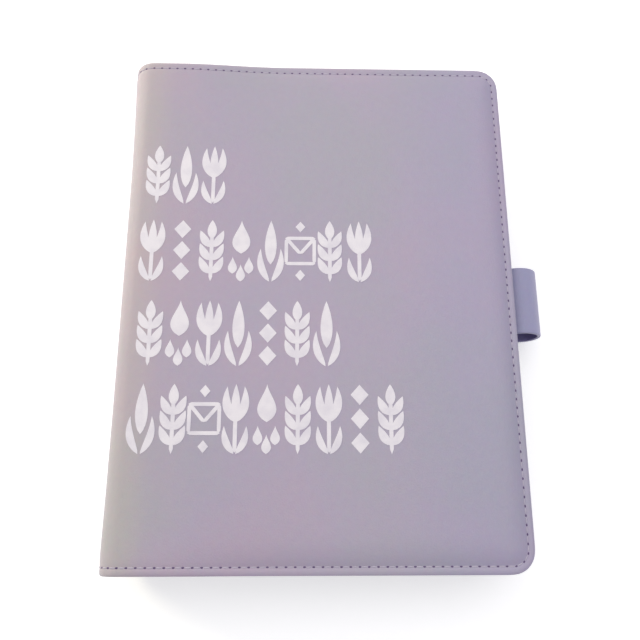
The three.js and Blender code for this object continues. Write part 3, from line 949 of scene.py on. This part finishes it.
# %% Print
# Rows as (height of the foot, first place, step, motifs), on the front panel from its fold
ROWS = [
    (42.5, 5.2, 12.6, (sprig, bud, tulip)),
    (5.5, 4.6, 13.1, (tulip, gems, sprig, drops, bud, little_envelope, sprig, tulip)),
    (-32.3, 6.0, 12.6, (sprig, drops, tulip, bud, gems, sprig, bud)),
    (-69.0, 5.0, 12.9, (bud, sprig, little_envelope, tulip, drops, sprig, tulip, gems, sprig)),
]
INK_STEP = 0.006


def ink(name):
    all_verts, all_faces = [], []
    for foot, start, step, motifs in ROWS:
        for place, motif in enumerate(motifs):
            for order, points in enumerate(motif()):
                first = len(all_verts)
                for x, y in points:
                    run, height = FRONT.fold_end + start + step * place + x, foot + y
                    lift = skin_height(FRONT, run, height) + INK_T + INK_STEP * order
                    all_verts.append(FRONT.place(run, height, lift))
                all_faces += [tuple(first + index for index in face) for face in STROKE[1]]
    piece = mesh_piece(name, all_verts, all_faces, PRINT)
    bpy.ops.object.mode_set(mode="EDIT")
    bpy.ops.mesh.select_all(action="SELECT")
    bpy.ops.mesh.remove_doubles(threshold=0.01 * MM)
    bpy.ops.object.mode_set(mode="OBJECT")
    modify(piece, "SOLIDIFY", thickness=INK_T * 0.9 * MM, offset=-1)
    smooth(40)
    bend_with(piece, "front")
    print(name, len(piece.data.polygons), "faces")


ink("front_print")

# %% [markdown]
# The pen loop is one leather band. Both ends are sewn flat inside the back cover, one over the other, and
# between them the band turns round the pen. Its middle line is drawn as points in the plane across the
# pen, a grid is laid along them, and a wall and a small bevel finish it.

# %% Pen loop
LOOP_T = 1.6
LOOP_OUT = 1.0
LOOP_DOWN = -1.6
LOOP_LOW, LOOP_HIGH = (Vector(corner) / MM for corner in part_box("pen_loop"))
LOOP_R = (LOOP_HIGH.z - LOOP_LOW.z - LOOP_T) / 2
LOOP_X = LOOP_HIGH.x - LOOP_T / 2 - LOOP_R
LOOP_Z = (LOOP_LOW.z + LOOP_HIGH.z) / 2


def loop_line():
    low = LOOP_Z - LOOP_R
    tail = LOOP_LOW.x
    points = [(x, low) for x in spread(tail, LOOP_X, 1.5)[:-1]]
    for i in range(37):
        angle = math.pi * (-0.5 + 1.5 * i / 36)
        points.append((LOOP_X + LOOP_R * math.cos(angle), LOOP_Z + LOOP_R * math.sin(angle)))
    left = LOOP_X - LOOP_R
    above = low + LOOP_T + 0.1
    for share in (0.3, 0.6, 0.85):
        points.append((left + 0.15 * share, LOOP_Z - share * (LOOP_Z - above - 2.2)))
    points += [(left - 0.2, above + 1.3), (left - 0.9, above + 0.45), (left - 1.9, above + 0.08)]
    return points + [(x, above) for x in spread(left - 2.6, tail, 0.5)]


def round_edges(piece, width):
    """A small bevel on the sharp edges alone."""
    modify(piece, "BEVEL", width=width * MM, segments=3, limit_method="ANGLE", angle_limit=math.radians(50))


rows = spread(LOOP_LOW.y, LOOP_HIGH.y, 1.6)
band = sheet_of(
    "pen_loop_band", loop_line(), rows,
    lambda point, y: Vector((point[0] + LOOP_OUT, y + LOOP_DOWN, point[1])) * MM,
)
band.data.flip_normals()
band.data.materials.append(LOOP)
band.data.materials.append(LOOP_INSIDE_SHADE)
# The inner shell takes the darker violet, painted shade inside the loop.
modify(band, "SOLIDIFY", thickness=LOOP_T * MM, offset=0, material_offset=1)
round_edges(band, 0.45)
smooth(50)
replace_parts(band, "pen_loop")
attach(band, "back_cover")
print("pen loop", len(band.data.polygons), "faces, radius", round(LOOP_R, 2))

# %% [markdown]
# The rings are round wire. One half ring is a small circle spun about the ring's axis, closed at its tip,
# and cut where it stands on its blade. Its copies then stand at the six places that the frame gives.

# %% Rings
WIRE_R = 1.3
WIRE_LINE_R = 11.3
TIP_GAP = 0.15
SWEEP = math.radians(166)
RING_LOW, RING_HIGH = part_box("upper_ring_1")
RING_AXIS_X = RING_HIGH[0] / MM - WIRE_LINE_R - WIRE_R


def half_ring(side):
    """One half ring at y = 0, side 1 above the middle and -1 below it."""
    deselect()
    bpy.ops.mesh.primitive_circle_add(vertices=16, radius=WIRE_R * MM, rotation=(0, 0, 0))
    wire = bpy.context.object
    centre = Vector((RING_AXIS_X, 0, SPINE_DEPTH / 2 + side * TIP_GAP)) * MM
    for vertex in wire.data.vertices:
        vertex.co += centre + Vector((WIRE_LINE_R * MM, 0, 0))
    bpy.ops.object.mode_set(mode="EDIT")
    bpy.ops.mesh.select_all(action="SELECT")
    bpy.ops.mesh.spin(steps=30, angle=side * SWEEP, center=centre, axis=(0, 1, 0))
    bpy.ops.mesh.select_all(action="SELECT")
    bpy.ops.mesh.fill_holes(sides=0)
    bpy.ops.mesh.select_all(action="SELECT")
    bpy.ops.mesh.bisect(plane_co=(RING_LOW[0], 0, 0), plane_no=(1, 0, 0), use_fill=True, clear_inner=True)
    bpy.ops.mesh.select_all(action="SELECT")
    bpy.ops.mesh.normals_make_consistent(inside=False)
    bpy.ops.object.mode_set(mode="OBJECT")
    return wire


def joined(name, pieces, angle, material, body, nodes=()):
    """One finished piece from many, in place of the frame's nodes if any are named."""
    deselect()
    for piece in pieces:
        piece.select_set(True)
    bpy.context.view_layer.objects.active = pieces[0]
    bpy.ops.object.join()
    whole = bpy.context.object
    whole.name = name
    smooth(angle)
    whole.data.materials.clear()
    whole.data.materials.append(material)
    if nodes:
        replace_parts(whole, *nodes)
    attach(whole, body)
    print(name, len(whole.data.polygons), "faces")


def numbered(stem):
    return [f"{stem}_{number}" for number in range(1, 7)]


for half, side in (("upper", 1), ("lower", -1)):
    pattern = half_ring(side)
    nodes = numbered(f"{half}_ring")
    wires = []
    for node in nodes:
        low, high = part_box(node)
        wire = bpy.data.objects.new(f"{node}_wire", pattern.data.copy())
        wire.data.transform(Matrix.Translation((0, (low[1] + high[1]) / 2, 0)))
        bpy.context.collection.objects.link(wire)
        wires.append(wire)
    bpy.data.objects.remove(pattern)
    joined(f"{half}_ring_wires", wires, 50, NICKEL, f"{half}_rings", nodes)

# %% [markdown]
# Six clear envelopes hang on the rings. Each is a thin punched film, which a copy of the frame's piece
# gives, and two softer sheets welded on it that stand out a little between the welds. A press zip closes
# it: a ribbed plastic strip with a slider, each slider a little further along than the one below.

# %% Clear envelopes
FILM_HALF = 0.16
POUCH_WALL = 0.06
POUCH_GAP = 0.03
POUCH_RISE = 0.34
BINDING_W = 12.0
WELD_W = 2.0
MOUTH_GAP = 0.2


def punched_film(node):
    """A copy of the frame's envelope, thinned to a film about its own middle."""
    low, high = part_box(node)
    middle = (low[2] + high[2]) / 2
    film = bpy.data.objects.new(f"{node}_film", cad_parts[node].data.copy())
    bpy.context.collection.objects.link(film)
    deselect()
    film.select_set(True)
    bpy.context.view_layer.objects.active = film
    tidy_normals()
    for vertex in film.data.vertices:
        vertex.co.z = middle + math.copysign(FILM_HALF * MM, vertex.co.z - middle)
    return film, Vector(low), Vector(high), middle


def pouch_sheet(name, low, high, middle, way):
    start = low + Vector((BINDING_W, WELD_W, 0)) * MM
    end = high - Vector((WELD_W, MOUTH_GAP, 0)) * MM

    def place(u, v):
        x, y = start.x + (end.x - start.x) * u, start.y + (end.y - start.y) * v
        inside = min(u, 1 - u, v, 1 - v) * 12
        swell = 1 - (1 - min(inside, 1.0)) ** 2
        wave = 0.6 + 0.4 * noise.noise(Vector((x * 30, y * 30, middle * 900 + way)))
        rise = FILM_HALF + POUCH_GAP + POUCH_RISE * swell * wave
        return Vector((x, y, middle + way * rise * MM))

    sheet = sheet_of(name, [i / 40 for i in range(41)], [i / 56 for i in range(57)], place)
    if way < 0:
        sheet.data.flip_normals()
    modify(sheet, "SOLIDIFY", thickness=POUCH_WALL * MM)
    return sheet


films = []
for node in numbered("envelope"):
    film, low, high, middle = punched_film(node)
    films += [film] + [pouch_sheet(f"{node}_{way}", low, high, middle, way) for way in (-1, 1)]
joined("clear_envelopes", films, 35, FILM, "envelopes", numbered("envelope"))

# %% [markdown]
# A press zip is an extruded strip: its section has two ribs on each side. So the section is drawn once as
# a ring of points, filled, and drawn out along the mouth. The slider is a block with a hollowed grip,
# inset from its two broad faces.

# %% Press zips
STRIP_H = 10.0
STRIP_HALF = 0.32
RIB_HALF = 0.56
RIBS = (2.8, 6.1)
RIB_W = 0.7
RIB_SLOPE = 0.3
SLIDER_SIZE = Vector((9.0, 7.4, 1.36))
SLIDER_LOW = 0.2
SLIDER_START = 14
SLIDER_STEP = 19


def zip_profile():
    """The strip's section, as (distance from its foot, height)."""
    near = [(0.0, STRIP_HALF)]
    for rib in RIBS:
        near += [(rib - RIB_SLOPE, STRIP_HALF), (rib, RIB_HALF)]
        near += [(rib + RIB_W, RIB_HALF), (rib + RIB_W + RIB_SLOPE, STRIP_HALF)]
    near.append((STRIP_H, STRIP_HALF))
    return [(y, -z) for y, z in near] + near[::-1]


def zip_strip(name, low, high):
    deselect()
    profile = zip_profile()
    bpy.ops.mesh.primitive_circle_add(vertices=len(profile), radius=1, fill_type="NGON")
    strip = bpy.context.object
    strip.name = name
    middle = (low.z + high.z) / 2
    for vertex, (y, z) in zip(strip.data.vertices, profile):
        vertex.co = Vector((low.x, low.y + y * MM, middle + z * MM))
    bpy.ops.object.mode_set(mode="EDIT")
    bpy.ops.mesh.select_all(action="SELECT")
    bpy.ops.mesh.extrude_region_move(TRANSFORM_OT_translate={"value": (high.x - low.x, 0, 0)})
    bpy.ops.mesh.select_all(action="SELECT")
    bpy.ops.mesh.normals_make_consistent(inside=False)
    bpy.ops.object.mode_set(mode="OBJECT")
    modify(strip, "BEVEL", width=0.08 * MM, segments=2)
    return strip


def zip_slider(name, low, high, along_x):
    """A small grip with a hollowed middle, astride the two ribs."""
    deselect()
    bpy.ops.mesh.primitive_cube_add(size=1)
    slider = bpy.context.object
    slider.name = name
    middle = (low + high) / 2
    middle.x = low.x + along_x * MM
    middle.y -= SLIDER_LOW * MM
    for vertex in slider.data.vertices:
        vertex.co = vertex.co * SLIDER_SIZE * MM + middle
    bpy.ops.object.mode_set(mode="EDIT")
    bpy.ops.mesh.select_all(action="DESELECT")
    bpy.ops.object.mode_set(mode="OBJECT")
    for face in slider.data.polygons:
        face.select = abs(face.normal.z) > 0.9
    bpy.ops.object.mode_set(mode="EDIT")
    bpy.ops.mesh.inset(thickness=1.5 * MM)
    bpy.ops.mesh.inset(thickness=0.5 * MM, depth=-0.22 * MM)
    bpy.ops.object.mode_set(mode="OBJECT")
    round_edges(slider, 0.3)
    return slider


strips, sliders = [], []
for order, node in enumerate(numbered("zip")):
    low, high = (Vector(corner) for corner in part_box(node))
    strips.append(zip_strip(f"{node}_strip", low, high))
    sliders.append(zip_slider(f"{node}_slider", low, high, SLIDER_START + SLIDER_STEP * order))
joined("press_zips", strips, 35, ZIP, "envelopes", numbered("zip"))
joined("zip_sliders", sliders, 40, SLIDER, "envelopes")

# %% [markdown]
# Light is plain and soft: a pale world, a broad lamp overhead, and a warm low pair on the spine side, which
# draws the cream line along the fold. Only the weaker of the pair shows in reflections, or the coated
# leather would glare in low views. The floor is a big pale plane.

# %% Light and floor
FLOOR_SIZE = 6.0
FLOOR_DROP = 0.0003
FLOOR_LIFT = 0.4
SKY_STRENGTH = 0.52
SKY_LIFT = 0.48
SIDE_AT = (-0.68, 0.42, 0.26)
SIDE_AIM = (-0.08, 0.05, 0.03)
FILM_LAYERS = 48


def lamp(name, size, power, color, at, aim, glossy=True):
    bpy.ops.object.light_add(type="AREA")
    light = bpy.context.object
    light.name = name
    light.data.size = size
    light.data.energy = power
    light.data.color = color
    way = Vector(aim) - Vector(at)
    light.matrix_world = Matrix.Translation(at) @ way.to_track_quat("-Z", "Y").to_matrix().to_4x4()
    light.visible_glossy = glossy


def seen_as_white(owner, base, lift, node, socket):
    """Adds light to a floor or sky for rays that see it, straight or in metal and film, and for no others."""
    rays = add(owner, "ShaderNodeLightPath")
    before, output = rays, "Is Camera Ray"
    for kind in ("Is Glossy Ray", "Is Transmission Ray"):
        either = add(owner, "ShaderNodeMath", operation="MAXIMUM")
        join(owner, before, output, either, 0)
        join(owner, rays, kind, either, 1)
        before, output = either, "Value"
    lifted = add(owner, "ShaderNodeMath", operation="MULTIPLY_ADD")
    lifted.inputs[1].default_value = lift
    lifted.inputs[2].default_value = base
    join(owner, before, output, lifted, 0)
    join(owner, lifted, "Value", node, socket)


deselect()
bpy.ops.mesh.primitive_plane_add(size=FLOOR_SIZE, location=(0, 0, -FLOOR_DROP))
floor = bpy.context.object
floor.name = "floor"
FLOOR = shader("pale_floor", (0.90, 0.90, 0.91), 0.9, Emission_Color=(1, 1, 1, 1))
seen_as_white(FLOOR, 0.0, FLOOR_LIFT, bsdf_of(FLOOR), "Emission Strength")
floor.data.materials.append(FLOOR)
lamp("overhead", 1.2, 5.4, (1.0, 0.98, 1.0), (0.25, 0.35, 1.1), (0, 0, 0))
lamp("spine_side", 0.4, 3.6, (1.0, 0.94, 0.66), SIDE_AT, SIDE_AIM, glossy=False)
lamp("spine_glint", 0.4, 1.6, (1.0, 0.95, 0.70), SIDE_AT, SIDE_AIM)
world = bpy.data.worlds.new("pale_world")
bpy.context.scene.world = world
world.use_nodes = True
sky = world.node_tree.nodes["Background"]
sky.inputs["Color"].default_value = (0.98, 0.98, 1.0, 1)
seen_as_white(world, SKY_STRENGTH, SKY_LIFT, sky, "Strength")
bpy.context.scene.view_settings.view_transform = "Standard"
bpy.context.scene.cycles.transparent_max_bounces = FILM_LAYERS
